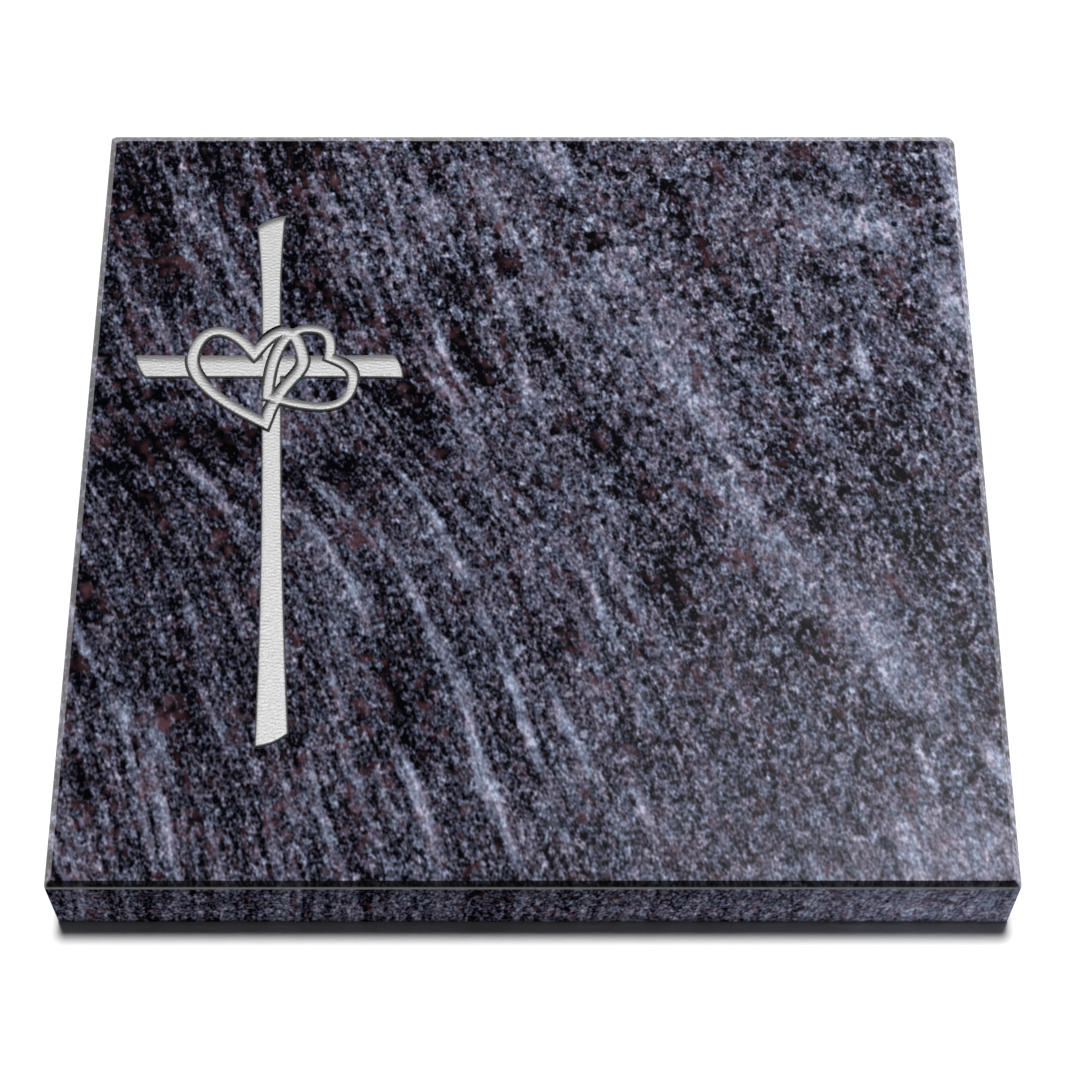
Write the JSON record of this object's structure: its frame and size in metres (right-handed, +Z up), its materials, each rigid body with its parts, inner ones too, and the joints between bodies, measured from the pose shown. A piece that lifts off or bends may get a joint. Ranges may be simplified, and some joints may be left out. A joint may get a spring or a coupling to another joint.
{
  "type": "grave plaque",
  "caption": "Lying memorial plaque: a flat polished granite slab with a chamfered top edge and a raised cast-metal cross with entwined heart bands on its face.",
  "frame": {"origin": "middle of the slab's underside", "axes": "+X to the right along the front edge, +Y to the back edge, +Z up out of the polished face"},
  "size_m": [0.4, 0.38, 0.0439],
  "materials": {
    "granite": "polished, blue-black with lavender grey streaks and small red garnets",
    "cast_metal": "bright cast aluminium with a finely wrinkled skin"
  },
  "bodies": {
    "root": {"granite_slab": "granite", "cross_with_hearts": "cast_metal"}
  },
  "joints": []
}
